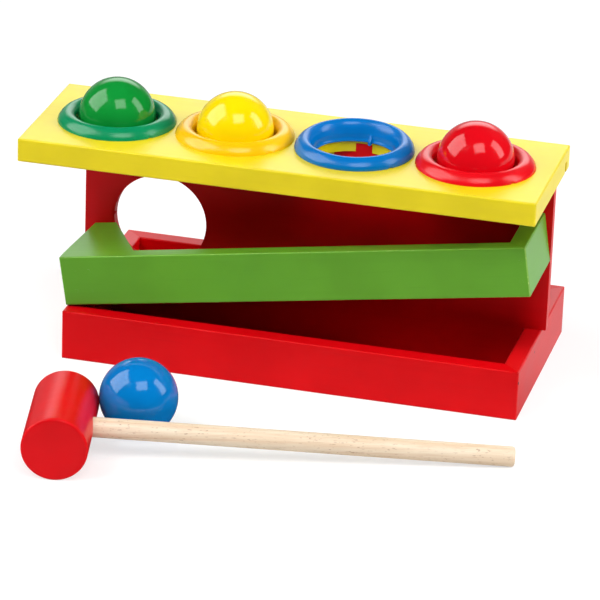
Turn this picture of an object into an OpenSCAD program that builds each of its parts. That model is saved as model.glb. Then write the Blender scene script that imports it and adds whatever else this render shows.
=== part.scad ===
// Toy workbench: a pounding bench with four balls held in flexible rings over a
// sloping ramp tray, a spine panel with a ball hole, a base tray and a hammer.
// Millimetres, +Z up. The origin is the centre of the base tray's underside;
// +X runs along the bench, and +Y from the ramp side to the back.

/* [Base tray] */
// Length of the base tray along X
base_l = 280; // [260:1:340]
// Depth of the base tray along Y
base_d = 138; // [128:1:170]
// Height of the base rails
base_h = 31; // [24:1:36]
// Thickness of the base rails
base_rail_t = 11; // [9:0.5:14]
// Thickness of the plywood floors
floor_t = 4; // [3:0.5:5]
// Depth of the rebate that takes a floor's edge
rebate_w = 5; // [4:0.5:6]

/* [Spine panel] */
// Thickness of the upright plywood panel
spine_t = 6; // [5:0.5:9]
// How far the panel passes the base at the low end of the ramp
spine_over_low = 6.4; // [0:0.2:12]
// How far the panel passes the base at the high end of the ramp
spine_over_high = 2.7; // [0:0.1:8]
// Radius of the hole that the balls roll out through
spine_hole_r = 29; // [26:0.5:30]
// Centre of that hole from the low end of the base
spine_hole_x = 41.2; // [38:0.5:60]
// Height of that hole's centre
spine_hole_z = 69.7; // [66:0.5:76]

/* [Ramp tray] */
// Slope of the ramp, in degrees
ramp_angle = 9; // [6:0.5:10]
// Length of the ramp tray along its slope
ramp_l = 286.4; // [270:0.2:300]
// Height of the ramp rails
ramp_h = 31; // [24:1:36]
// Thickness of the ramp's front rail
ramp_rail_t = 10; // [8:0.5:12]
// Thickness of the ramp's end rail
ramp_end_t = 11; // [8:0.5:13]
// Clear width of the channel that the balls roll in
channel_w = 48.2; // [47.2:0.2:54]
// How far the ramp's low end is cut on the skew, over its depth
ramp_skew = 5.2; // [0:0.2:8]
// Deflector's length along the panel, from the square end of the ramp
deflector_back = 18.6; // [12:0.2:24]
// Deflector's length along the front rail, from the square end of the ramp
deflector_front = 44; // [30:0.5:50]

/* [Top board] */
// Length of the top board
board_l = 312; // [296:1:360]
// Depth of the top board
board_d = 101; // [90:1:120]
// Thickness of the top board
board_t = 14.5; // [13:0.5:18]
// Height of the top board's underside
board_z = 126.7; // [122:0.1:140]
// Board's middle along X, from the base's middle
board_x = -10.2; // [-14:0.2:0]
// Depth of the groove that takes the spine panel
groove_depth = 9; // [6:0.5:10]
// Width of the step round the lower edge of each hole
hole_step_w = 5.4; // [2:0.2:6]
// Height of that step
hole_step_h = 3.8; // [2:0.1:5]
// Height of the slot under the board's high end
end_slot_h = 7.3; // [3:0.1:10]
// Width of that slot
end_slot_w = 5; // [3:0.5:6]
// Distance of that slot's middle from the board's back edge
end_slot_back = 11; // [8:0.5:16]

/* [Rings] */
// Spacing of the rings along the board
ring_pitch = 73; // [72.5:0.5:80]
// Outer diameter of a ring's rim
ring_od = 71.8; // [68:0.2:72]
// Height of the rim's crest above the board
rim_h = 7.7; // [6:0.1:9]
// Distance of the crest from the rim's outer edge
crest_in = 3.9; // [3:0.1:5]
// Wall of the sleeve that sits in the board
sleeve_wall = 2; // [1.4:0.05:2.2]
// How far the sleeve reaches into the board
sleeve_depth = 3.8; // [3:0.1:6]
// Width of one grip nub, in degrees
nub_angle = 7; // [6:1:12]

/* [Balls] */
// Diameter of a ball
ball_d = 46; // [45:0.2:46]
// Height of a held ball's centre above the board
ball_rise = 3.3; // [3:0.1:4]

/* [Hammer] */
// Diameter of the hammer head
head_d = 38.4; // [34:0.2:44]
// Length of the hammer head
head_l = 68.5; // [60:0.5:80]
// Diameter of the handle
handle_d = 11.8; // [10:0.2:14]
// Handle's reach from the middle of the head
handle_reach = 260.7; // [200:0.5:280]
// Depth of the handle's socket past the middle of the head
socket_past = 8; // [4:0.5:12]

/* [Small parts] */
// Radius of the eased edges of the wooden boards
ease_r = 1; // [0.5:0.1:1.5]
// Diameter of a steel brad
brad_d = 1.4; // [1.2:0.1:1.6]
// Diameter of a wood screw's shank
screw_d = 3; // [2.5:0.1:3.5]

/* [Hidden] */
$fn = 64;
fit = 0.1;              // glue clearance between a board's edge and its groove
end_slot_l = 12;        // how far the end slot runs in along X
over = 20;              // how far a cutter passes the end that it cuts through

// Base tray
spine_front = -spine_t / 2;
spine_back = spine_t / 2;
floor_l = base_l - 2 * (base_rail_t - rebate_w) - 2 * fit;
floor_d = base_d - 2 * (base_rail_t - rebate_w) - 2 * fit;

// Spine panel
spine_x0 = -base_l / 2 - spine_over_low;
spine_x1 = base_l / 2 + spine_over_high;
spine_foot_l = base_l - 2 * base_rail_t - 2 * fit;
hole_x = -base_l / 2 + spine_hole_x;

// Ramp tray: u runs up the slope, y across it and w square to its underside
ramp_front = spine_front - channel_w - ramp_rail_t;
ramp_inner = spine_front - channel_w;
ramp_x = -base_l / 2 - 0.1;
ramp_z = base_h + 0.4;
ramp_d = channel_w + ramp_rail_t;
skew_per_mm = ramp_skew / ramp_d;

// Rings and balls
ball_r = ball_d / 2;
sleeve_in = ball_r + 0.5;                // the ball passes with this much room
sleeve_out = sleeve_in + sleeve_wall;
hole_r = sleeve_out + fit;
row_y = spine_front - hole_r + 0.4;      // the holes just graze the spine panel
board_y = row_y + 1.2;                   // the row lies just in front of the board's middle
board_top = board_z + board_t;
rim_out = ring_od / 2;
crest_r = rim_out - crest_in;
throat_r = sleeve_out + 0.5;             // radius at the top of the funnel
throat_z = 2.6;                          // height there
funnel = [[sleeve_in + 1.2, 0], [sleeve_in + 0.3, -1.8], [sleeve_in, -2.6]];
nub_reach = 1.9;                         // how far a nub stands into the sleeve
nub_slant = 0.5;                         // how much less it stands in at its shoulder
nub_drop = 1.4;                          // how far it hangs below the sleeve
ring_xs = [for (i = [0:3]) board_x + (i - 1.5) * ring_pitch];

// Loose pieces on the table in front of the bench
spare_ball = [-65.7, -156.5];
hammer_at = [-99.3, -199.8];
hammer_turn = 15.5;
hammer_tilt = asin((head_d - handle_d) / 2 / handle_reach);
handle_r = handle_d / 2;
socket_fit = 0.05;

// Fasteners
brad_l = 20;
brad_head_d = 2.4;
brad_head_t = 0.6;
screw_l = 19;
screw_head_d = 6;
screw_head_t = 1.8;

// Places of the fasteners
corner_brad_zs = [base_h * 0.3, base_h * 0.72];
corner_brad_y = base_d / 2 - base_rail_t * 0.36;
floor_brad_inset = base_rail_t - rebate_w / 2;
floor_brad_xs = [-base_l * 0.36, 0, base_l * 0.36];
spine_brad_xs = [-base_l * 0.3, 0, base_l * 0.3];
ramp_screw_w = ramp_h * 0.5;
ramp_screw_us = [ramp_skew + 5, ramp_l - ramp_end_t / 2];
ramp_brad_ws = [ramp_h * 0.3, ramp_h * 0.7];
ramp_brad_us = [ramp_skew + 3, deflector_back - 1];

// ---------- Shared shapes ----------

// Rectangle from the origin with four round corners
module eased_rect(w, h, r) {
    translate([r, 0]) square([w - 2 * r, h]);
    translate([0, r]) square([w, h - 2 * r]);
    for (x = [r, w - r], y = [r, h - r]) translate([x, y]) circle(r = r, $fn = 32);
}

// Block from the origin with all twelve edges eased
module eased_block(l, d, h, r = ease_r) {
    intersection() {
        linear_extrude(h) eased_rect(l, d, r);
        translate([0, d, 0]) rotate([90, 0, 0]) linear_extrude(d) eased_rect(l, h, r);
        rotate([90, 0, 90]) linear_extrude(l) eased_rect(d, h, r);
    }
}

// Bar along X from the origin with its four long edges eased
module eased_bar(l, d, h, r = ease_r) {
    rotate([90, 0, 90]) linear_extrude(l) eased_rect(d, h, r);
}

// Flat-headed brad with its head's face at the origin, pointing down -Z
module brad(l = brad_l) {
    rotate_extrude() polygon([[0, 0], [brad_head_d / 2, 0], [brad_head_d / 2, -brad_head_t],
        [brad_d / 2, -brad_head_t], [brad_d / 2, -l + brad_d], [0, -l]]);
}

// Countersunk wood screw with its head's face at the origin, pointing down -Z
module screw(l = screw_l) {
    difference() {
        rotate_extrude() polygon([[0, 0], [screw_head_d / 2, 0], [screw_head_d / 2, -0.3],
            [screw_d / 2, -screw_head_t], [screw_d / 2, -l + screw_d], [0, -l]]);
        for (a = [0, 90]) rotate([0, 0, a])
            translate([-screw_d * 0.55, -0.4, -1]) cube([screw_d * 1.1, 0.8, 2]);
    }
}

// The same screw with no recess, for the hole that it sits in
module screw_hole(l = screw_l) {
    rotate_extrude() polygon([[0, 1], [screw_head_d / 2, 1], [screw_head_d / 2, -0.3],
        [screw_d / 2, -screw_head_t], [screw_d / 2, -l + screw_d], [0, -l]]);
}

// Places its children in the ramp's own sloping frame
module on_ramp() {
    translate([ramp_x, 0, ramp_z]) rotate([0, -ramp_angle, 0]) children();
}

// ---------- Base tray ----------

// Keeps the part of a rail that lies between the two 45 degree mitres
module mitre(l, reach) {
    linear_extrude(base_h + 2, center = true) polygon([[-l / 2, 0], [l / 2, 0],
        [l / 2 - reach, reach], [-l / 2 + reach, reach]]);
}

// One rail of the base, along X with its outer face at y = 0
module base_rail(l) {
    difference() {
        intersection() {
            translate([-l / 2, 0, 0]) eased_block(l, base_rail_t + 2 * ease_r, base_h);
            translate([-l / 2, -ease_r, 0]) eased_bar(l, base_rail_t + ease_r, base_h);
            translate([0, 0, base_h / 2]) mitre(l, base_rail_t);
        }
        translate([-l, base_rail_t - rebate_w, -1]) cube([2 * l, rebate_w + 5, floor_t + 1 + fit]);
    }
}

module corner_brads() {
    for (sx = [-1, 1], sy = [-1, 1], z = corner_brad_zs)
        translate([sx * base_l / 2, sy * corner_brad_y, z]) rotate([0, sx * 90, 0]) brad();
}

module floor_brads() {
    for (x = floor_brad_xs, sy = [-1, 1])
        translate([x, sy * (base_d / 2 - floor_brad_inset), 0]) rotate([180, 0, 0]) brad();
    for (sx = [-1, 1], y = [-base_d / 5, base_d / 5])
        translate([sx * (base_l / 2 - floor_brad_inset), y, 0]) rotate([180, 0, 0]) brad();
    for (x = spine_brad_xs) translate([x, 0, 0]) rotate([180, 0, 0]) brad();
}

module base_front_rail() {
    color("crimson") difference() {
        translate([0, -base_d / 2, 0]) base_rail(base_l);
        corner_brads();
        floor_brads();
    }
}

module base_back_rail() {
    color("crimson") difference() {
        translate([0, base_d / 2, 0]) rotate([0, 0, 180]) base_rail(base_l);
        corner_brads();
        floor_brads();
    }
}

module base_low_rail() {
    color("crimson") difference() {
        translate([-base_l / 2, 0, 0]) rotate([0, 0, -90]) base_rail(base_d);
        corner_brads();
        floor_brads();
    }
}

module base_high_rail() {
    color("crimson") difference() {
        translate([base_l / 2, 0, 0]) rotate([0, 0, 90]) base_rail(base_d);
        corner_brads();
        floor_brads();
    }
}

module base_floor() {
    color("firebrick") difference() {
        translate([-floor_l / 2, -floor_d / 2, 0]) cube([floor_l, floor_d, floor_t]);
        floor_brads();
    }
}

module base_corner_brads() {
    color("silver") corner_brads();
}

module base_floor_brads() {
    color("silver") floor_brads();
}

// ---------- Spine panel ----------

module spine_outline() {
    top = board_z + groove_depth - fit;
    translate([spine_x0, base_h]) eased_rect(spine_x1 - spine_x0, top - base_h, ease_r);
    translate([-spine_foot_l / 2, floor_t]) square([spine_foot_l, base_h]);
}

module spine_panel() {
    color("firebrick") difference() {
        translate([0, spine_back, 0]) rotate([90, 0, 0]) linear_extrude(spine_t) difference() {
            spine_outline();
            translate([hole_x, spine_hole_z]) circle(r = spine_hole_r, $fn = 96);
        }
        for (x = ring_xs) translate([x, row_y, board_z - 1]) cylinder(r = hole_r, h = board_t + 2);
        floor_brads();
        on_ramp() ramp_screw_places() screw_hole();
    }
}

// ---------- Ramp tray ----------

module ramp_screw_places() {
    for (u = ramp_screw_us) translate([u, spine_back, ramp_screw_w]) rotate([-90, 0, 0]) children();
}

module ramp_brad_places() {
    for (w = ramp_brad_ws) {
        for (u = ramp_brad_us) translate([u, ramp_front, w]) rotate([90, 0, 0]) children();
        translate([ramp_l - ramp_end_t * 0.4, ramp_front, w]) rotate([90, 0, 0]) children();
    }
}

// Plan of the whole ramp with its low end on the skew
module ramp_plan() {
    polygon([[0, ramp_front], [ramp_l, ramp_front], [ramp_l, spine_front],
        [ramp_skew, spine_front]]);
}

// Room for the ramp's floor, from under the low end up to the end rail's rebate
module ramp_floor_space(clear = 0) {
    translate([-over, ramp_inner - rebate_w - clear, -1])
        cube([over + ramp_l - ramp_end_t + rebate_w + clear, channel_w + rebate_w + clear + 1,
            floor_t + 1 + clear]);
}

// Front rail; its inner top edge stays square where the deflector lies against it
module ramp_front_rail() {
    color("yellowgreen") on_ramp() difference() {
        union() {
            intersection() {
                translate([0, ramp_front, 0])
                    eased_block(ramp_l, ramp_rail_t + 2 * ease_r, ramp_h);
                translate([0, ramp_front - ease_r, 0])
                    eased_bar(ramp_l, ramp_rail_t + ease_r, ramp_h);
                linear_extrude(3 * ramp_h, center = true) intersection() {
                    ramp_plan();
                    polygon([[-1, ramp_front], [ramp_l, ramp_front],
                        [ramp_l - ramp_end_t, ramp_inner], [-1, ramp_inner]]);
                }
            }
            translate([ease_r, ramp_inner - ease_r, ramp_h - ease_r])
                cube([deflector_front - ease_r, ease_r, ease_r]);
        }
        ramp_floor_space(fit);
        ramp_brad_places() brad();
    }
}

module ramp_end_rail() {
    color("yellowgreen") on_ramp() difference() {
        intersection() {
            translate([ramp_l - ramp_end_t - 2 * ease_r, ramp_front, 0])
                eased_block(ramp_end_t + 2 * ease_r, ramp_d, ramp_h);
            linear_extrude(3 * ramp_h, center = true) polygon([[ramp_l, ramp_front],
                [ramp_l, spine_front], [ramp_l - ramp_end_t, spine_front],
                [ramp_l - ramp_end_t, ramp_inner]]);
        }
        ramp_floor_space(fit);
        ramp_brad_places() brad();
        ramp_screw_places() screw_hole();
    }
}

module ramp_deflector() {
    color("yellowgreen") on_ramp() difference() {
        translate([0, 0, floor_t]) linear_extrude(ramp_h - floor_t)
            polygon([[skew_per_mm * ramp_rail_t, ramp_inner], [deflector_front, ramp_inner],
                [deflector_back, spine_front], [ramp_skew, spine_front]]);
        ramp_brad_places() brad();
        ramp_screw_places() screw_hole();
    }
}

module ramp_floor() {
    color("olivedrab") on_ramp() intersection() {
        translate([0, ramp_inner - rebate_w, 0])
            cube([ramp_l - ramp_end_t + rebate_w, channel_w + rebate_w, floor_t]);
        linear_extrude(3 * ramp_h, center = true) ramp_plan();
    }
}

module ramp_brads() {
    color("silver") on_ramp() ramp_brad_places() brad();
}

module ramp_screws() {
    color("silver") on_ramp() ramp_screw_places() screw();
}

// ---------- Top board ----------

module top_board() {
    color("gold") difference() {
        translate([board_x - board_l / 2, board_y - board_d / 2, board_z])
            eased_block(board_l, board_d, board_t, 1.2 * ease_r);
        for (x = ring_xs) translate([x, row_y, board_z]) {
            translate([0, 0, -1]) cylinder(r = hole_r, h = board_t + 2);
            translate([0, 0, -1]) cylinder(r = hole_r + hole_step_w, h = hole_step_h + 1);
        }
        translate([spine_x0 - fit, spine_front - fit, board_z - 1])
            cube([spine_x1 - spine_x0 + 2 * fit, spine_t + 2 * fit, groove_depth + 1]);
        translate([board_x + board_l / 2 - end_slot_l,
            board_y + board_d / 2 - end_slot_back - end_slot_w / 2, board_z - 1])
            cube([end_slot_l + 1, end_slot_w, end_slot_h + 1]);
    }
}

// ---------- Rings ----------

// Points of a quarter ellipse about [x, z], from one angle to the other
function quarter(x, z, rx, rz, from, to) =
    [for (i = [0:12]) let (a = from + (to - from) * i / 12) [x + rx * cos(a), z + rz * sin(a)]];

// Half section of a ring, radius outwards and height above the board: a rim with its
// crest near the middle, a funnel down to the sleeve and a sleeve inside the board
module ring_section() {
    outer = quarter(crest_r, 0.4, crest_in, rim_h - 0.4, 0, 90);
    inner = quarter(crest_r, throat_z, crest_r - throat_r, rim_h - throat_z, 97.5, 180);
    polygon(concat([[rim_out - 0.3, 0]], outer, inner, funnel, [[sleeve_in, -sleeve_depth],
        [sleeve_out - 0.5, -sleeve_depth], [sleeve_out, -sleeve_depth + 0.5], [sleeve_out, 0]]));
}

module ring(i) {
    translate([ring_xs[i], row_y, board_top]) rotate_extrude($fn = 128) ring_section();
}

// Three wedge nubs that the ball rests on and springs past
module grips(i) {
    translate([ring_xs[i], row_y, board_top]) for (a = [80, 200, 320])
        rotate([0, 0, a - nub_angle / 2]) rotate_extrude(angle = nub_angle, $fn = 128)
            polygon(concat(funnel, [[sleeve_in, -sleeve_depth - nub_drop],
                [sleeve_in - nub_reach, -sleeve_depth - nub_drop],
                [sleeve_in - nub_reach + nub_slant, -sleeve_depth + 0.4]]));
}

module ring_green() { color("seagreen") ring(0); }
module ring_yellow() { color("orange") ring(1); }
module ring_blue() { color("royalblue") ring(2); }
module ring_red() { color("red") ring(3); }
module grips_green() { color("seagreen") grips(0); }
module grips_yellow() { color("orange") grips(1); }
module grips_blue() { color("royalblue") grips(2); }
module grips_red() { color("red") grips(3); }

// ---------- Balls ----------

module held_ball(i) {
    translate([ring_xs[i], row_y, board_top + ball_rise]) sphere(d = ball_d, $fn = 96);
}

module ball_green() { color("green") held_ball(0); }
module ball_yellow() { color("yellow") held_ball(1); }
module ball_red() { color("red") held_ball(3); }
module ball_blue() {
    color("dodgerblue") translate([spare_ball.x, spare_ball.y, ball_r]) sphere(d = ball_d, $fn = 96);
}

// ---------- Hammer ----------

// Places its children with the head's middle at the origin and the handle along +X
module on_hammer() {
    translate([hammer_at.x, hammer_at.y, head_d / 2]) rotate([0, 0, hammer_turn])
        rotate([0, hammer_tilt, 0]) children();
}

module hammer_head() {
    head_ease = 1.6;
    color("crimson") on_hammer() difference() {
        rotate([90, 0, 0]) rotate_extrude($fn = 128) translate([0, -head_l / 2])
            difference() {
                translate([-head_d / 2, 0]) eased_rect(head_d, head_l, head_ease);
                translate([-head_d, -1]) square([head_d, head_l + 2]);
            }
        translate([-socket_past - 0.5, 0, 0]) rotate([0, 90, 0])
            cylinder(r = handle_r + socket_fit, h = head_d);
    }
}

module hammer_handle() {
    end_ease = 1.5;
    color("burlywood") on_hammer() translate([-socket_past, 0, 0]) rotate([0, 90, 0])
        rotate_extrude($fn = 96) {
            l = handle_reach + socket_past;
            square([handle_r, l - end_ease]);
            square([handle_r - end_ease, l]);
            translate([handle_r - end_ease, l - end_ease]) intersection() {
                circle(r = end_ease, $fn = 32);
                square(end_ease);
            }
        }
}

base_front_rail();
base_back_rail();
base_low_rail();
base_high_rail();
base_floor();
base_corner_brads();
base_floor_brads();
spine_panel();
ramp_front_rail();
ramp_end_rail();
ramp_deflector();
ramp_floor();
ramp_brads();
ramp_screws();
top_board();
ring_green();
ring_yellow();
ring_blue();
ring_red();
grips_green();
grips_yellow();
grips_blue();
grips_red();
ball_green();
ball_yellow();
ball_red();
ball_blue();
hammer_head();
hammer_handle();
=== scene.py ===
import math

import bmesh
import bpy
from mathutils import Matrix, Vector, noise


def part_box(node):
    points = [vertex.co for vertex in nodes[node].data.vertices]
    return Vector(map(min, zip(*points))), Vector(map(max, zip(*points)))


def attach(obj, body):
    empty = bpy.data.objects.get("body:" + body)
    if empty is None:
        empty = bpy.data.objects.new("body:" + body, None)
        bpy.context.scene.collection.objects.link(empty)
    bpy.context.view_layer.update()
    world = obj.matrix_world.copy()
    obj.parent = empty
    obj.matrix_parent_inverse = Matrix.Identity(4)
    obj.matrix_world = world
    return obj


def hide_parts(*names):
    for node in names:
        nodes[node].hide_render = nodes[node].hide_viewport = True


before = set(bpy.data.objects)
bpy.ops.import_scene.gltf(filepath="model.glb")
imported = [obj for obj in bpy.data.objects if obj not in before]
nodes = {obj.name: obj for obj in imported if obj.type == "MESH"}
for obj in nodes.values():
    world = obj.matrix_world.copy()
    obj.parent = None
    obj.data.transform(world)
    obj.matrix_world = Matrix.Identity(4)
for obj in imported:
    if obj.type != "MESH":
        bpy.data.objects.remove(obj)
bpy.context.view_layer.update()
MM = 0.001

# Sizes and turns of the bench and its hammer that the boxes of their nodes don't give
RAMP_ANGLE = math.radians(9)
HOLE_R = 25.6 * MM                    # of the top board's holes
HEAD_D, HEAD_L = 38.4 * MM, 68.5 * MM
HEAD_SKEW = math.radians(4)           # how far the head is off square to its handle
HANDLE_D, HANDLE_REACH = 11.8 * MM, 260.7 * MM
HANDLE_TURN = math.radians(15.5)      # from +X towards +Y
HANDLE_TILT = math.asin((HEAD_D - HANDLE_D) / 2 / HANDLE_REACH)     # down to the table at its free end
SOCKET_PAST = 8 * MM                  # how far the handle runs past the head's middle
SOCKET_FIT = 0.05 * MM
COLOURS = ("green", "yellow", "blue", "red")

# ---------- Camera ----------
CAMERA_AT = (0.5423, -2.2621, 1.01841)
CAMERA_TURNS = (13.7263, 23.0321, -2.1345)      # round to the right, up and roll, in degrees
CAMERA_LENS = 249.81                            # mm, on a sensor 36 mm wide


def make_camera():
    """The photograph's viewpoint: 13.7 degrees round to the right, 23 degrees up, 2.1 degrees of roll."""
    yaw, pitch, roll = (math.radians(a) for a in CAMERA_TURNS)
    ahead = Vector((-math.sin(yaw) * math.cos(pitch), math.cos(yaw) * math.cos(pitch), -math.sin(pitch)))
    across = Vector((math.cos(yaw), math.sin(yaw), 0))
    down = ahead.cross(across)
    right = math.cos(roll) * across + math.sin(roll) * down
    up = math.sin(roll) * across - math.cos(roll) * down
    data = bpy.data.cameras.new("camera")
    data.sensor_width = 36
    data.lens = CAMERA_LENS
    data.clip_start, data.clip_end = 0.1, 50
    camera = bpy.data.objects.new("camera", data)
    camera.matrix_world = Matrix((right, up, -ahead)).transposed().to_4x4()
    camera.location = CAMERA_AT
    bpy.context.scene.collection.objects.link(camera)
    bpy.context.scene.camera = camera


# ---------- Node helpers ----------
class Graph:
    """A short way to write a tree of shader nodes."""

    def __init__(self, tree):
        self.tree = tree

    def node(self, kind, inputs=None, **settings):
        n = self.tree.nodes.new(kind)
        for key, value in settings.items():
            setattr(n, key, value)
        for key, value in (inputs or {}).items():
            self.put(n.inputs[key], value)
        return n

    def put(self, socket, value):
        """Links a socket to another node's output, or sets it."""
        if isinstance(value, bpy.types.NodeSocket):
            self.tree.links.new(value, socket)
        else:
            socket.default_value = value

    def place(self, kind="Object"):
        """Where a point is, in the object's own metres; in the world's nodes "Generated" is its direction."""
        return self.node("ShaderNodeTexCoord").outputs[kind]

    def axes(self, vector):
        """A vector's three parts."""
        n = self.node("ShaderNodeSeparateXYZ")
        self.put(n.inputs[0], vector)
        return [n.outputs[letter] for letter in "XYZ"]

    def math(self, operation, a, b=0.0):
        n = self.node("ShaderNodeMath", operation=operation)
        self.put(n.inputs[0], a)
        self.put(n.inputs[1], b)
        return n.outputs[0]

    def line(self, value, slope, start):
        """start at a value of 0, and start + slope at 1."""
        return self.math("ADD", self.math("MULTIPLY", value, slope), start)

    def ramp(self, value, low, high):
        """0 at low, 1 at high, smooth between."""
        n = self.node("ShaderNodeMapRange", interpolation_type="SMOOTHSTEP")
        self.put(n.inputs["Value"], value)
        n.inputs["From Min"].default_value = low
        n.inputs["From Max"].default_value = high
        return n.outputs["Result"]

    def mix(self, factor, a, b):
        n = self.node("ShaderNodeMix", data_type="RGBA")
        self.put(n.inputs[0], factor)
        self.put(n.inputs[6], a)
        self.put(n.inputs[7], b)
        return n.outputs[2]

    def lay(self, shade, over, amount, share):
        """A shade with a share of another laid over it where amount is 1, and none where it is 0."""
        return self.mix(self.math("MULTIPLY", amount, share), shade, over)

    def noise(self, vector, scale, detail=2.0, rough=0.5):
        n = self.node("ShaderNodeTexNoise", {"Scale": scale, "Detail": detail, "Roughness": rough})
        self.put(n.inputs["Vector"], vector)
        return n.outputs["Fac"]

    def turned(self, vector, scale=(1, 1, 1), rotation=(0, 0, 0)):
        n = self.node("ShaderNodeMapping", {"Scale": scale, "Rotation": rotation})
        self.put(n.inputs["Vector"], vector)
        return n.outputs["Vector"]

    def bump(self, height, distance, strength, normal=None):
        n = self.node("ShaderNodeBump", {"Strength": strength, "Distance": distance})
        self.put(n.inputs["Height"], height)
        if normal is not None:
            self.put(n.inputs["Normal"], normal)
        return n.outputs["Normal"]


def srgb(r, g, b):
    """A linear colour from 8-bit sRGB numbers."""
    def line(c):
        c /= 255
        return c / 12.92 if c <= 0.04045 else ((c + 0.055) / 1.055) ** 2.4
    return (line(r), line(g), line(b), 1.0)


def grey(level):
    """A grey of that linear level."""
    return (level, level, level, 1.0)


def tint(color, factor):
    """A lighter or darker shade of a colour."""
    return tuple(min(1.0, c * factor) for c in color[:3]) + (1.0,)


def new_material(name):
    """A material, its graph and its shader, which is linked to the output."""
    m = bpy.data.materials.new(name)
    m.use_nodes = True
    m.node_tree.nodes.clear()
    g = Graph(m.node_tree)
    shader = g.node("ShaderNodeBsdfPrincipled")
    g.node("ShaderNodeOutputMaterial", {"Surface": shader.outputs["BSDF"]})
    return m, g, shader


# ---------- Materials ----------
GRAIN_ALONG = 0.045       # scale of the grain's noise along a board, where its scale across is 1
NICK_R, NICK_CORE = 1.1 * MM, 0.5 * MM


def painted_wood(name, color, worn_and_lit, axis="X", angle=0.0, rough=0.34, shine=0.5, worn_and_lit_share=0.75, raised=0.4,
                 nicks=()):
    """Satin paint over sanded boards: faint grain along one axis, roller texture, and paler edges of thin
    paint with a painted highlight.

    worn_and_lit_share is how much of the paler edge colour, worn thin paint with a painted highlight, the
    edges take; raised is how strongly the grain stands out, and nicks are the places of small dark marks."""
    m, g, shader = new_material(name)
    where = g.place()
    along = tuple(GRAIN_ALONG if letter == axis else 1.0 for letter in "XYZ")
    grain_at = g.turned(g.turned(where, rotation=(0, angle, 0)), scale=along)
    grain = g.noise(grain_at, 420.0, 3.0, 0.6)
    streaks = g.noise(grain_at, 130.0)
    cloud = g.noise(where, 26.0)
    peel = g.noise(where, 900.0)
    shade = g.mix(g.ramp(cloud, 0.3, 0.7), tint(color, 0.94), tint(color, 1.04))
    shade = g.lay(shade, tint(color, 0.86), g.ramp(streaks, 0.5, 0.75), 0.22)
    shade = g.lay(shade, tint(color, 0.76), g.ramp(grain, 0.58, 0.8), 0.25)
    # Edge band: worn thin paint and a painted highlight along the edges, in one attribute
    wear_and_light = g.node("ShaderNodeAttribute", attribute_name="wear_and_light").outputs["Fac"]
    chips = g.line(g.ramp(g.noise(where, 210.0, 3.0), 0.56, 0.66), 0.6, 0.4)
    # Paler edges: worn paint, and a painted highlight where the eased edges catch the light
    shade = g.lay(shade, worn_and_lit, g.math("MULTIPLY", g.ramp(wear_and_light, 0.35, 0.95), chips), worn_and_lit_share)
    for nick in nicks:
        off = g.node("ShaderNodeVectorMath", {0: where, 1: nick}, operation="DISTANCE").outputs["Value"]
        shade = g.mix(g.ramp(off, NICK_R, NICK_CORE), shade, tint(color, 0.12))
    g.put(shader.inputs["Base Color"], shade)
    g.put(shader.inputs["Roughness"], g.line(cloud, 0.12, rough - 0.06))
    shader.inputs["Specular IOR Level"].default_value = shine
    lines = g.bump(grain, 0.12 * MM, raised)
    g.put(shader.inputs["Normal"], g.bump(peel, 0.06 * MM, 0.9 * raised, lines))
    return m


def lacquered(name, color, deep, rough=0.1, shine=0.5):
    """Glossy lacquer over turned wood, a little deeper in patches."""
    m, g, shader = new_material(name)
    where = g.place()
    cloud = g.noise(where, 34.0)
    g.put(shader.inputs["Base Color"], g.mix(g.ramp(cloud, 0.25, 0.75), deep, color))
    g.put(shader.inputs["Roughness"], g.line(cloud, 0.08, rough - 0.04))
    shader.inputs["Specular IOR Level"].default_value = shine
    waves = g.bump(g.noise(where, 130.0, 1.5, 0.4), 0.3 * MM, 0.3)
    g.put(shader.inputs["Normal"], g.bump(g.noise(where, 700.0), 0.04 * MM, 0.3, waves))
    return m


def moulded(name, color):
    """Soft glossy plastic of the rings."""
    m, g, shader = new_material(name)
    where = g.place()
    cloud = g.noise(where, 40.0)
    g.put(shader.inputs["Base Color"], g.mix(g.ramp(cloud, 0.3, 0.7), tint(color, 0.94), tint(color, 1.04)))
    g.put(shader.inputs["Roughness"], g.line(cloud, 0.1, 0.15))
    shader.inputs["Specular IOR Level"].default_value = 0.42
    g.put(shader.inputs["Normal"], g.bump(g.noise(where, 160.0, 2.0, 0.4), 0.2 * MM, 0.25))
    return m


def steel():
    """Bright steel of the brads and screws, faintly scratched."""
    m, g, shader = new_material("bright_steel")
    scratch = g.noise(g.turned(g.place(), scale=(1, 1, 0.1)), 2600.0)
    g.put(shader.inputs["Base Color"], g.mix(scratch, (0.42, 0.41, 0.4, 1), (0.6, 0.59, 0.57, 1)))
    shader.inputs["Metallic"].default_value = 1.0
    g.put(shader.inputs["Roughness"], g.line(scratch, 0.2, 0.22))
    return m


def beech():
    """Pale beech along the handle: soft growth bands and the short dark flecks of its rays."""
    m, g, shader = new_material("beech_dowel")
    level = g.turned(g.place(), rotation=(0, 0, -HANDLE_TURN))
    bands = g.noise(g.turned(level, scale=(0.03, 1.0, 1.0)), 330.0, 3.0, 0.6)
    pores = g.noise(g.turned(level, scale=(0.05, 1.0, 1.0)), 1900.0)
    flecks = g.noise(g.turned(level, scale=(0.28, 1.0, 1.0)), 1250.0, 1.0, 0.4)
    patches = g.ramp(g.noise(level, 60.0, 1.0), 0.38, 0.62)
    shade = g.mix(g.ramp(bands, 0.3, 0.75), srgb(239, 222, 198), srgb(226, 197, 165))
    shade = g.lay(shade, srgb(202, 164, 130), g.ramp(pores, 0.52, 0.78), 0.35)
    shade = g.lay(shade, srgb(150, 96, 62), g.ramp(flecks, 0.64, 0.72), g.line(patches, 0.35, 0.15))
    g.put(shader.inputs["Base Color"], shade)
    g.put(shader.inputs["Roughness"], g.line(pores, 0.2, 0.32))
    shader.inputs["Specular IOR Level"].default_value = 0.4
    g.put(shader.inputs["Normal"], g.bump(pores, 0.05 * MM, 0.5))
    return m


# Each paint with its paler edge colour: worn thin paint and a painted edge highlight in one
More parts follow.
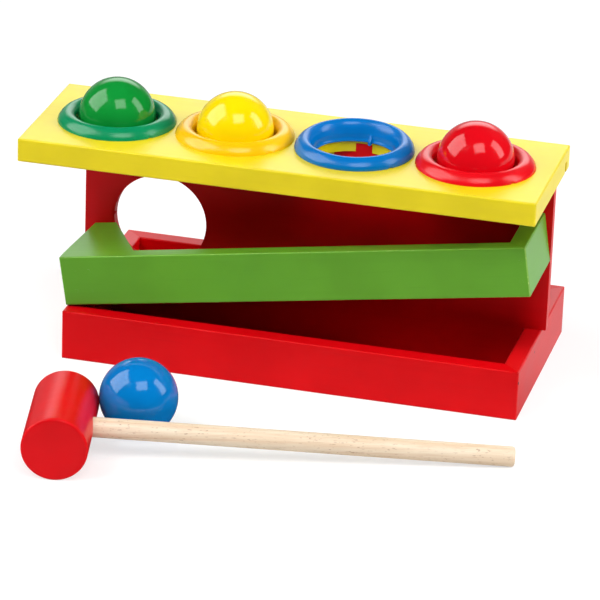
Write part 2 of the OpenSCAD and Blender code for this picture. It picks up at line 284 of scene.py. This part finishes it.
RED, WORN_AND_LIT_RED = srgb(214, 4, 14), srgb(236, 90, 84)
GREEN, WORN_AND_LIT_GREEN = srgb(96, 160, 42), srgb(196, 224, 130)
YELLOW, WORN_AND_LIT_YELLOW = srgb(232, 211, 8), srgb(250, 240, 150)
right_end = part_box("base_high_rail")[1].x
end_nicks = [(right_end, -21.7 * MM, 24.5 * MM), (right_end, -68.2 * MM, 23.9 * MM)]
# Paints by their colour and the axis along which the grain runs
paints = {
    "red_x": painted_wood("red_paint", RED, WORN_AND_LIT_RED, shine=0.14, worn_and_lit_share=0.3),
    "red_y": painted_wood("red_paint_across", RED, WORN_AND_LIT_RED, axis="Y", shine=0.3, worn_and_lit_share=0.3),
    "red_end": painted_wood("red_paint_end", RED, WORN_AND_LIT_RED, axis="Y", rough=0.42, worn_and_lit_share=0.8, raised=1.0,
                            nicks=end_nicks),
    "green_x": painted_wood("green_paint", GREEN, WORN_AND_LIT_GREEN, angle=RAMP_ANGLE, shine=0.32, worn_and_lit_share=0.85),
    "green_y": painted_wood("green_paint_across", GREEN, WORN_AND_LIT_GREEN, axis="Y", angle=RAMP_ANGLE,
                            worn_and_lit_share=0.85),
    "yellow_x": painted_wood("yellow_paint", YELLOW, WORN_AND_LIT_YELLOW, worn_and_lit_share=0.4),
}
lacquers = {
    "green": lacquered("green_lacquer", srgb(16, 146, 56), srgb(10, 136, 48)),
    "yellow": lacquered("yellow_lacquer", srgb(250, 222, 4), srgb(244, 212, 0)),
    "red": lacquered("red_lacquer", srgb(222, 8, 24), srgb(212, 6, 20)),
    "blue": lacquered("blue_lacquer", srgb(0, 124, 198), srgb(0, 114, 190)),
}
plastics = {
    "green": moulded("green_plastic", srgb(8, 140, 90)),
    "yellow": moulded("yellow_plastic", srgb(250, 194, 8)),
    "red": moulded("red_plastic", srgb(222, 10, 24)),
    "blue": moulded("blue_plastic", srgb(0, 112, 190)),
}
head_paint = lacquered("red_head_lacquer", srgb(220, 2, 14), srgb(210, 2, 12), rough=0.32, shine=0.2)
metal = steel()
wood = beech()


# ---------- Mesh helpers ----------
def skin(rows, closed=False):
    """A closed mesh over rows of points, where a row of one point is a pole.

    closed joins the last row to the first."""
    bm = bmesh.new()
    made = [[bm.verts.new(p) for p in row] for row in rows]
    pairs = list(zip(made, made[1:]))
    if closed:
        pairs.append((made[-1], made[0]))
    for a, b in pairs:
        n = max(len(a), len(b))
        for i in range(n):
            j = (i + 1) % n
            corners = [a[i % len(a)], a[j % len(a)], b[j % len(b)], b[i % len(b)]]
            bm.faces.new(dict.fromkeys(corners))
    bmesh.ops.recalc_face_normals(bm, faces=bm.faces)
    return bm


def add_piece(name, bm, body, slot, material, *stands_for, sharp=35):
    """Makes a mesh a piece of the object in place of CAD nodes; edges over sharp degrees stay crisp."""
    mesh = bpy.data.meshes.new(name)
    bm.to_mesh(mesh)
    bm.free()
    mesh.materials.append(material)
    mesh.polygons.foreach_set("use_smooth", [True] * len(mesh.polygons))
    mesh.set_sharp_from_angle(angle=math.radians(sharp))
    o = bpy.data.objects.new(name, mesh)
    bpy.context.scene.collection.objects.link(o)
    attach(o, body)
    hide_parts(*stands_for)
    return o


def steps(start, end, n):
    """n even steps from start to end, both included."""
    return [start + (end - start) * i / n for i in range(n + 1)]


def turns(n, pole=False):
    """n even turns round a circle, or the first one alone at a pole."""
    return steps(0, 2 * math.pi, n)[:1 if pole else -1]


def smooth(x, low, high):
    """0 below low, 1 above high, smooth between."""
    t = min(1.0, max(0.0, (x - low) / (high - low)))
    return t * t * (3 - 2 * t)


def quarter(x, z, rx, rz, start, end, n):
    """Points of a quarter ellipse about (x, z), from one angle to the other, in degrees."""
    angles = (math.radians(a) for a in steps(start, end, n))
    return [(x + rx * math.cos(a), z + rz * math.sin(a)) for a in angles]


def curve(points, n=5):
    """A smooth line through points (a Catmull-Rom spline), n steps between each two."""
    p = [Vector(q) for q in points]
    p = [2 * p[0] - p[1]] + p + [2 * p[-1] - p[-2]]
    line = []
    for a, b, c, d in zip(p, p[1:], p[2:], p[3:]):
        for t in steps(0, 1, n)[:-1]:
            q = 2 * b + (c - a) * t + (2 * a - 5 * b + 4 * c - d) * t * t + (3 * b - a - 3 * c + d) * t ** 3
            line.append(tuple(q / 2))
    return line + [tuple(p[-2])]


# ---------- Rings ----------
# Rims as (radius less the outer one, height) in mm, from the board up over the crest and down into the funnel
HELD_RIM = [(0.0, 0.0), (-0.2, 1.0), (-0.9, 2.4), (-1.9, 3.7), (-3.0, 4.8), (-4.3, 5.7), (-5.8, 6.2),
            (-7.3, 6.2), (-8.7, 5.7), (-9.9, 4.8), (-10.8, 3.5), (-11.25, 2.0), (-11.4, 0.6)]
EMPTY_RIM = [(-0.1, 0.0), (0.0, 1.2), (-0.45, 2.9), (-1.4, 4.5), (-2.6, 5.9), (-4.0, 7.0), (-5.5, 7.7),
             (-7.0, 7.6), (-8.4, 6.8), (-9.4, 5.7), (-10.2, 4.2), (-10.7, 2.6), (-11.1, 1.0)]
RIM_INSET = 0.27                            # keeps the rim's curve inside the CAD's ring
FUNNEL = [(24.2, -1.5), (23.65, -2.9)]
BACK_RISE = 0.14                            # share by which the empty rim is higher behind, lower in front
RING_UNEVEN = 0.06
SLEEVE_IN, SLEEVE_OUT = 23.55, 25.45
END_GAP = 0.07                              # how much higher than the CAD's the sleeve ends
NUBS = (80, 200, 320)                       # degrees from +X
NUB_HALF, NUB_GRID = 7, 0.5                 # degrees: half the fine stretch at a nub, and its steps
NUB_REACH, NUB_DROP = 1.75, 1.3


def ring_outline(rim_out, sleeve, rim):
    """Half section of a ring in mm, as (radius, height, share of a nub's reach, share of its drop)."""
    section = curve([(rim_out - RIM_INSET + r, z) for r, z in rim] + FUNNEL)
    lip_r, foot_r, end_h = 0.35, 0.25, 0.35
    round_z = end_h + END_GAP - sleeve
    lip = quarter(SLEEVE_IN + lip_r, round_z, lip_r, end_h, 180, 270, 4)
    foot = quarter(SLEEVE_OUT - foot_r, round_z, foot_r, end_h, 270, 360, 4)
    top = [(r, z, smooth(-z, -1.6, 2.6), 0) for r, z in section]
    return top + [(r, z, 1, 1) for r, z in lip] + [(r, z, 0, 0) for r, z in foot] + [(SLEEVE_OUT, 0.0, 0, 0)]


def off_nub(angle):
    """Degrees from the nearest nub."""
    return min(abs(angle - nub) for nub in NUBS)


def make_ring(colour):
    """A soft ring with its three nubs: the sleeve swells inwards and hangs lower at each nub.

    The rims of the rings that hold a ball are drawn in and lower. The empty blue one stands up, most of
    all at the back."""
    node = "ring_" + colour
    lo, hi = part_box(node)
    board_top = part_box("top_board")[1].z
    centre = Vector(((lo.x + hi.x) / 2, (lo.y + hi.y) / 2, board_top))
    rim, back_rise = (EMPTY_RIM, BACK_RISE) if colour == "blue" else (HELD_RIM, 0)
    outline = ring_outline((hi.x - lo.x) / 2 / MM, (board_top - lo.z) / MM, rim)
    fine = steps(-NUB_HALF, NUB_HALF, round(2 * NUB_HALF / NUB_GRID))
    between = [a for a in steps(0, 360, 144)[:-1] if off_nub(a) > NUB_HALF + 0.2]
    angles = sorted([nub + step for nub in NUBS for step in fine] + between)
    rows = []
    for r, z, reach, drop in outline:
        row = []
        for a in angles:
            off = off_nub(a)
            swell = reach * (1 - smooth(off, 1 + reach, 2.2 + 1.6 * reach))
            height = z - NUB_DROP * drop * (1 - smooth(off, 1.4, 3.8))
            out = Vector((math.cos(math.radians(a)), math.sin(math.radians(a)), 0))
            if z > 0:
                height *= 1 + back_rise * out.y
            if height > 0.5:
                height -= RING_UNEVEN * (1 + noise.noise(out * 2.5 + Vector((0, 0, z * 0.1 + centre.x * 40))))
            row.append(centre + MM * ((r - NUB_REACH * swell) * out + Vector((0, 0, height))))
        rows.append(row)
    bm = skin(rows, closed=True)
    slot = colour + "_plastic"
    add_piece("soft_" + node, bm, "bench", slot, plastics[colour], node, "grips_" + colour, sharp=60)


# ---------- Balls ----------
BALL_UNEVEN = 0.035 * MM


def make_ball(colour):
    """A turned and lacquered wooden ball, a few hundredths of a millimetre out of round."""
    node = "ball_" + colour
    lo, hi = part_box(node)
    centre = (lo + hi) / 2
    radius = min(hi - lo) / 2
    seed = Vector((3.0, 5.0, 7.0)) * (1 + COLOURS.index(colour))
    rows = []
    for tilt in steps(0, math.pi, 56):
        row = []
        for turn in turns(96, pole=tilt in (0, math.pi)):
            out = Vector((math.sin(tilt) * math.cos(turn), math.sin(tilt) * math.sin(turn), math.cos(tilt)))
            row.append(centre + out * (radius - BALL_UNEVEN * (1 + noise.noise(out * 2.2 + seed))))
        rows.append(row)
    body, slot = colour + "_ball", colour + "_lacquer"
    add_piece("turned_" + node, skin(rows), body, slot, lacquers[colour], node, sharp=80)


# ---------- Hammer ----------
HEAD_EASE, HANDLE_EASE = 1.6 * MM, 1.5 * MM
HEAD_UNEVEN, HANDLE_UNEVEN = 0.02 * MM, 0.015 * MM


def hammer_place():
    """Places a shape with the head's middle at the origin and the handle along +X."""
    lo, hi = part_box("hammer_head")
    turn = Matrix.Rotation(HANDLE_TURN, 4, "Z") @ Matrix.Rotation(HANDLE_TILT, 4, "Y")
    return Matrix.Translation((lo + hi) / 2) @ turn


def turned_rod(stations, uneven, seed, sides):
    """A closed rod round the X axis; stations are (place along X, radius), with no radius at either end."""
    rows = []
    for x, radius in stations:
        row = []
        for a in turns(sides, pole=radius == 0):
            out = Vector((0, math.cos(a), math.sin(a)))
            dent = uneven * (1 + noise.noise(out * 1.3 + Vector((x * 60, seed, 0)))) if radius else 0
            row.append(Vector((x, 0, 0)) + out * (radius - dent))
        rows.append(row)
    return skin(rows)


def make_head():
    """The turned hammer head, with eased rims and a socket for the handle."""
    r, half = HEAD_D / 2, HEAD_L / 2
    rim = quarter(half - HEAD_EASE, r - HEAD_EASE, HEAD_EASE, HEAD_EASE, 90, 0, 8)
    far_end = rim + [(half, r * 0.75), (half, r * 0.35), (half, 0)]
    near_end = [(-x, y) for x, y in reversed(far_end)]
    side = [(x, r) for x in steps(HEAD_EASE - half, half - HEAD_EASE, 24)[1:-1]]
    bm = turned_rod(near_end + side + far_end, HEAD_UNEVEN, seed=4.0, sides=96)
    # Level, though the handle dips towards its free end
    bm.transform(Matrix.Rotation(-HANDLE_TILT, 4, "Y") @ Matrix.Rotation(math.pi / 2 - HEAD_SKEW, 4, "Z"))
    bottom, bore = -SOCKET_PAST - 0.5 * MM, HANDLE_D / 2 + SOCKET_FIT
    cutter = turned_rod([(bottom, 0), (bottom, bore), (HEAD_D, bore), (HEAD_D, 0)], 0, seed=0, sides=64)
    bm = carve(bm, cutter)
    bm.transform(hammer_place())
    add_piece("turned_hammer_head", bm, "hammer", "red_lacquer", head_paint, "hammer_head", sharp=30)


def carve(bm, cutter):
    """The first mesh less the second."""
    parts = []
    for name, shape in (("blank", bm), ("cutter", cutter)):
        mesh = bpy.data.meshes.new(name)
        shape.to_mesh(mesh)
        shape.free()
        o = bpy.data.objects.new(name, mesh)
        bpy.context.scene.collection.objects.link(o)
        parts.append(o)
    blank, tool = parts
    cut = blank.modifiers.new("cut", "BOOLEAN")
    cut.operation = "DIFFERENCE"
    cut.solver = "EXACT"
    cut.object = tool
    result = bmesh.new()
    result.from_object(blank, bpy.context.evaluated_depsgraph_get())
    for o in parts:
        bpy.data.objects.remove(o)
    return result


def make_handle():
    """The beech dowel, with its free end eased."""
    r, straight = HANDLE_D / 2, HANDLE_REACH - HANDLE_EASE
    stations = [(-SOCKET_PAST, 0), (-SOCKET_PAST, r)]
    stations += [(x, r) for x in steps(-SOCKET_PAST, straight, 54)[1:-1]]
    stations += quarter(straight, r - HANDLE_EASE, HANDLE_EASE, HANDLE_EASE, 90, 0, 8)
    stations += [(HANDLE_REACH, r * 0.35), (HANDLE_REACH, 0)]
    bm = turned_rod(stations, HANDLE_UNEVEN, seed=9.0, sides=48)
    bm.transform(hammer_place())
    add_piece("dowel_handle", bm, "hammer", "beech", wood, "hammer_handle", sharp=40)


# ---------- Boards ----------
GRID = 8 * MM                         # about the size of a board's faces
EDGE_ROWS = (0.5 * MM, 1.6 * MM)      # how far the two finer rows along an edge reach
WORN_AND_LIT_W = 0.9                          # mm from an edge to where its rubbing, worn paint and painted edge highlight end
ALL_WORN_AND_LIT = 500                        # mm, more than any board's depth
SANDED, RUBBED = 0.02 * MM, 0.1 * MM  # how much sanding takes off everywhere, and more on an edge


def edge_nearness(p, lo, hi):
    """1 on a box's edges and 0 away from them, by the second smallest distance from p to the box's sides."""
    off = sorted(min(p[i] - lo[i], hi[i] - p[i]) for i in range(3))
    return 1 - smooth(max(0.0, off[1]) / MM, 0.0, WORN_AND_LIT_W)


def slice_board(bm, axis, low, high):
    """Cuts a board's faces across one axis: finer rows at both ends, and even ones between."""
    size = high - low
    first, second = EDGE_ROWS
    rows = [first, second, size - second, size - first] if size > GRID else []
    rows += steps(0, size, max(1, round(size / GRID)))[1:-1]
    for row in rows:
        place, across = Vector(), Vector()
        place[axis], across[axis] = low + row, 1
        geometry = bm.verts[:] + bm.edges[:] + bm.faces[:]
        bmesh.ops.bisect_plane(bm, geom=geometry, dist=1e-6, plane_co=place, plane_no=across)


def make_board(node, slot, material, angle=0.0, rims=(), worn_and_lit_depth=ALL_WORN_AND_LIT):
    """A board's CAD mesh with more faces, edges that are a little uneven from sanding, and its edges measured
    for worn paint with a painted highlight.

    rims are upright holes as (x, y, radius), whose upper and lower edges count as edges too.
    worn_and_lit_depth is how far from its front, in mm, a board's edges take the worn paint and painted
    highlight."""
    bm = bmesh.new()
    bm.from_mesh(nodes[node].data)
    bmesh.ops.remove_doubles(bm, verts=bm.verts, dist=1e-6)
    level = Matrix.Rotation(angle, 4, "Y")
    bm.transform(level)
    lo = Vector([min(v.co[i] for v in bm.verts) for i in range(3)])
    hi = Vector([max(v.co[i] for v in bm.verts) for i in range(3)])
    for i in range(3):
        slice_board(bm, i, lo[i], hi[i])
    # Edge band for the paint: worn thin paint and a painted highlight in one
    wear_and_light = bm.verts.layers.float.new("wear_and_light")
    seed = Vector((sum(map(ord, node)) % 97, 0, 0))
    bm.normal_update()
    for v in bm.verts:
        near = edge_nearness(v.co, lo, hi)
        for x, y, radius in rims:
            off = abs((v.co.xy - Vector((x, y))).length - radius) / MM
            ends = min(v.co.z - lo.z, hi.z - v.co.z) / MM
            near = max(near, 1 - smooth(max(off, ends), 0.0, WORN_AND_LIT_W))
        v[wear_and_light] = near * (1 - smooth((v.co.y - lo.y) / MM, worn_and_lit_depth - 1, worn_and_lit_depth))
        v.co -= v.normal * (SANDED + RUBBED * near) * (0.5 + 0.5 * noise.noise(v.co * 160 + seed))
    bm.transform(level.inverted())
    o = add_piece("board_" + node, bm, "bench", slot, material, node)
    even = o.modifiers.new("even", "WEIGHTED_NORMAL")
    even.keep_sharp = True


# ---------- CAD nodes that keep their own shape ----------
def paint_node(name, materials, slot_of=None):
    """Gives a CAD node its materials; slot_of picks one by the middle of a face."""
    o = nodes[name]
    o.data.materials.clear()
    for material in materials:
        o.data.materials.append(material)
    for p in o.data.polygons:
        p.material_index = slot_of(p.center) if slot_of else 0


def painted_heads(name, paint, axis, ends):
    """Fasteners driven before painting: steel in the wood, and paint on the heads at the box's ends."""
    heads = [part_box(name)[end][axis] for end in ends]
    paint_node(name, [metal, paint], lambda c: int(any(abs(c[axis] - head) < 0.05 * MM for head in heads)))


# ---------- Studio ----------
AIM = Vector((0, -0.05, 0.08))      # the middle of what the lamps light
WINDOW_X, WINDOW_Z = -0.16, 0.4     # the middle of the window seen in reflections, as a direction
WINDOW_W, WINDOW_H = 0.46, 0.24     # half its width and height
FLOOR_REACH = 12


def lamp(name, toward, size, radiance, distance=2.4, gloss=False, diffuse=True):
    """A lamp in a direction from the bench, by its width and height, radiance and distance.

    gloss and diffuse say whether it shows in reflections and whether it lights the colours."""
    data = bpy.data.lights.new(name, "AREA")
    data.shape = "RECTANGLE"
    data.size, data.size_y = size
    data.energy = radiance * math.pi * size[0] * size[1]
    o = bpy.data.objects.new(name, data)
    toward = Vector(toward).normalized()
    o.location = toward * distance + AIM
    o.rotation_mode = "QUATERNION"
    o.rotation_quaternion = toward.to_track_quat("Z", "Y")
    o.visible_camera = False
    o.visible_glossy = gloss
    o.visible_diffuse = diffuse
    bpy.context.scene.collection.objects.link(o)


def make_world():
    """White to the camera, a window behind the bench in reflections, and a faint light from above."""
    world = bpy.data.worlds.new("studio")
    bpy.context.scene.world = world
    world.use_nodes = True
    world.node_tree.nodes.clear()
    g = Graph(world.node_tree)
    x, y, z = g.axes(g.place("Generated"))
    aside = g.math("DIVIDE", g.math("SUBTRACT", x, WINDOW_X), WINDOW_W)
    above = g.math("DIVIDE", g.math("SUBTRACT", z, WINDOW_Z), WINDOW_H)
    off_window = g.math("ADD", g.math("MULTIPLY", aside, aside), g.math("MULTIPLY", above, above))
    window = g.math("MULTIPLY", g.ramp(off_window, 1.3, 0.1), 2.6)
    wide = g.ramp(g.math("ABSOLUTE", g.math("ADD", x, 0.2)), 0.75, 0.3)
    wall = g.math("MULTIPLY", g.math("MULTIPLY", wide, g.ramp(z, 0.5, 0.2)), 0.4)
    behind = g.math("MULTIPLY", g.math("MAXIMUM", window, wall), g.ramp(y, 0.2, 0.5))
    sky = g.math("MULTIPLY", g.ramp(z, 0.05, 0.6), 0.05)
    ray = g.node("ShaderNodeLightPath").outputs
    level = g.math("MAXIMUM", ray["Is Camera Ray"], ray["Is Transmission Ray"])
    level = g.math("MAXIMUM", level, g.math("MULTIPLY", ray["Is Glossy Ray"], g.math("ADD", behind, 0.04)))
    level = g.math("MAXIMUM", level, g.math("MULTIPLY", ray["Is Diffuse Ray"], sky))
    back = g.node("ShaderNodeBackground", {"Color": grey(1), "Strength": level})
    g.node("ShaderNodeOutputWorld", {"Surface": back.outputs[0]})


def make_floor():
    """A plain pale floor that keeps the shadows and is white to the camera.

    In bounced light and in reflections it is darker in front of the bench than behind it."""
    mesh = bpy.data.meshes.new("floor")
    s = FLOOR_REACH
    mesh.from_pydata([(-s, -s, 0), (s, -s, 0), (s, s, 0), (-s, s, 0)], [], [(0, 1, 2, 3)])
    floor = bpy.data.objects.new("floor", mesh)
    bpy.context.scene.collection.objects.link(floor)
    m, g, shader = new_material("pale_floor")
    x, y = g.axes(g.place())[:2]
    ray = g.node("ShaderNodeLightPath").outputs
    bounce = g.mix(g.ramp(y, -0.8, -0.3), grey(0.2), grey(0.88))
    g.put(shader.inputs["Base Color"], g.mix(ray["Is Diffuse Ray"], grey(0.4), bounce))
    shader.inputs["Roughness"].default_value = 0.8
    shader.inputs["Specular IOR Level"].default_value = 0.0
    shader.inputs["Emission Color"].default_value = grey(1)
    # Seen directly, it glows enough to top up the lamps' light to white
    seen = g.math("MAXIMUM", ray["Is Camera Ray"], ray["Is Transmission Ray"])
    g.put(shader.inputs["Emission Strength"], g.math("MULTIPLY", seen, 0.66))
    behind = g.math("MULTIPLY", g.ramp(y, -0.14, 0.06), g.line(g.ramp(x, -0.3, 0.15), 0.55, 0.25))
    mirrored = g.node("ShaderNodeEmission", {"Color": grey(1), "Strength": g.math("ADD", behind, 0.03)})
    shown = {0: ray["Is Glossy Ray"], 1: shader.outputs["BSDF"], 2: mirrored.outputs[0]}
    both = g.node("ShaderNodeMixShader", shown)
    output = next(n for n in m.node_tree.nodes if n.type == "OUTPUT_MATERIAL")
    g.put(output.inputs["Surface"], both.outputs[0])
    mesh.materials.append(m)


def make_lamps():
    """Three softboxes that show only in the gloss, and five lamps that light the colours."""
    lamp("left_box", (-0.76, -0.17, 0.63), (2.6, 2.6), 3.6, 3.0, gloss=True, diffuse=False)
    lamp("front_box", (0.27, -0.51, 0.82), (1.9, 1.7), 3.6, 3.6, gloss=True, diffuse=False)
    lamp("right_box", (0.84, 0.14, 0.51), (1.3, 2.6), 3.6, 3.6, gloss=True, diffuse=False)
    lamp("key_light", (-0.42, -0.5, 0.77), (1.2, 1.0), 7.1)
    lamp("fore_light", (0.22, -0.58, 0.79), (1.1, 1.0), 6.8)
    lamp("right_light", (0.9, 0.04, 0.42), (1.2, 1.0), 9.5)
    lamp("back_light", (0.34, 0.73, 0.59), (1.4, 1.4), 2.4)
    lamp("left_light", (-0.88, -0.22, 0.42), (1.2, 1.0), 6.2)


make_camera()
for colour in COLOURS:
    make_ring(colour)
    make_ball(colour)
make_head()
make_handle()

ring_middles = [sum(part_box("ring_" + colour), Vector()) / 2 for colour in COLOURS]
make_board("base_front_rail", "red_paint", paints["red_x"])
make_board("base_back_rail", "red_paint", paints["red_x"])
make_board("base_low_rail", "red_paint", paints["red_y"])
make_board("base_high_rail", "red_paint", paints["red_end"])
make_board("spine_panel", "red_paint", paints["red_x"])
make_board("ramp_front_rail", "green_paint", paints["green_x"], RAMP_ANGLE, worn_and_lit_depth=4)
make_board("ramp_end_rail", "green_paint", paints["green_y"], RAMP_ANGLE)
make_board("ramp_deflector", "green_paint", paints["green_x"], RAMP_ANGLE, worn_and_lit_depth=0)
make_board("top_board", "yellow_paint", paints["yellow_x"], rims=[(p.x, p.y, HOLE_R) for p in ring_middles])
paint_node("base_floor", [paints["red_x"]])
paint_node("ramp_floor", [paints["green_x"]])
paint_node("base_floor_brads", [metal])
paint_node("ramp_screws", [metal])
painted_heads("base_corner_brads", paints["red_y"], 0, ends=(0, 1))
painted_heads("ramp_brads", paints["green_x"], 1, ends=(0,))

make_world()
make_floor()
make_lamps()
bpy.context.scene.view_settings.view_transform = "Standard"
